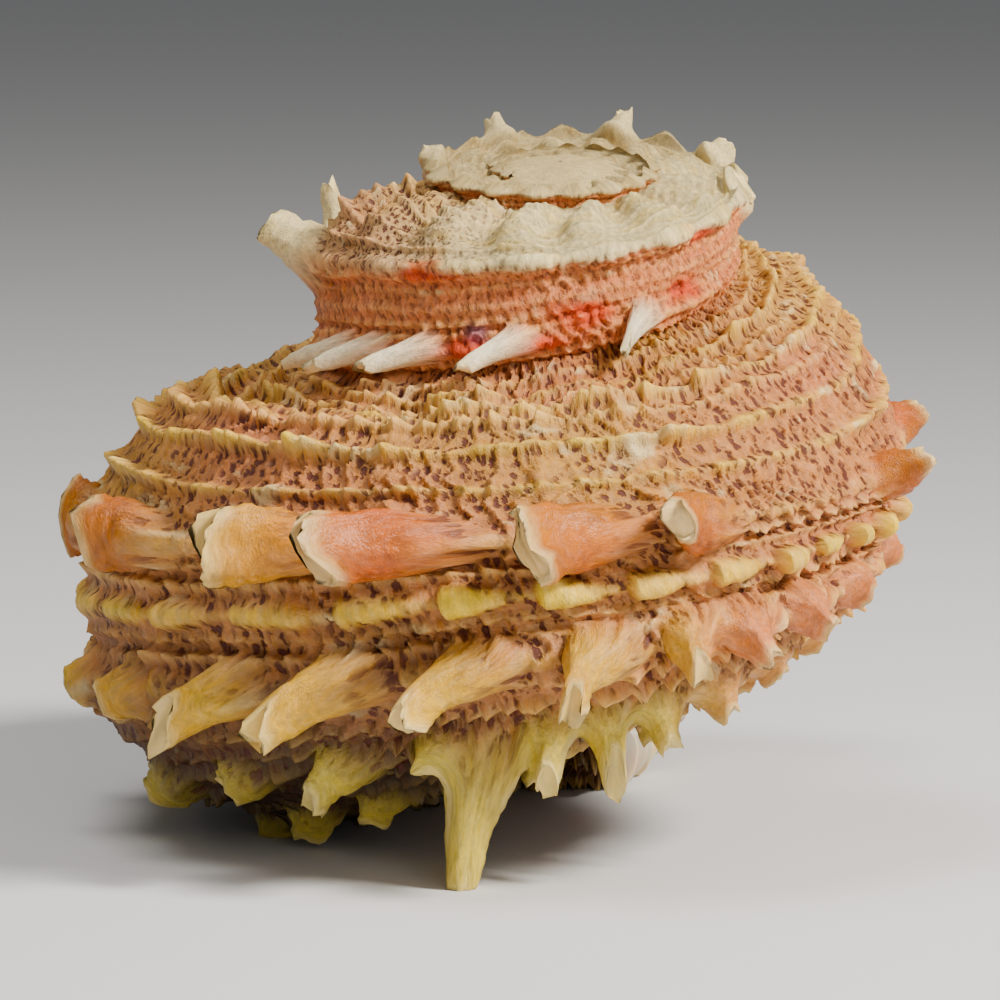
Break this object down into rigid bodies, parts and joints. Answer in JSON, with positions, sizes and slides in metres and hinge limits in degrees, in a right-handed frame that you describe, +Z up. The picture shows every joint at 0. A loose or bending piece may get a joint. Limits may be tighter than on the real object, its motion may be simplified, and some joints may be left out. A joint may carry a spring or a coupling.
{
  "type": "dolphin shell",
  "caption": "Spiny, low-spired sea snail shell with a flat-topped spire, flared shoulder spines, a round mouth and an open umbilicus.",
  "frame": {"origin": "the middle of the box that holds the shell, on the surface that it stands on", "axes": "+Z up towards the apex, -Y towards the side that the picture shows, +Y towards the mouth's side"},
  "size_m": [0.0556, 0.0684, 0.0464],
  "materials": {
    "shell": "satin"
  },
  "bodies": {
    "root": {"shell": "shell"}
  },
  "joints": []
}
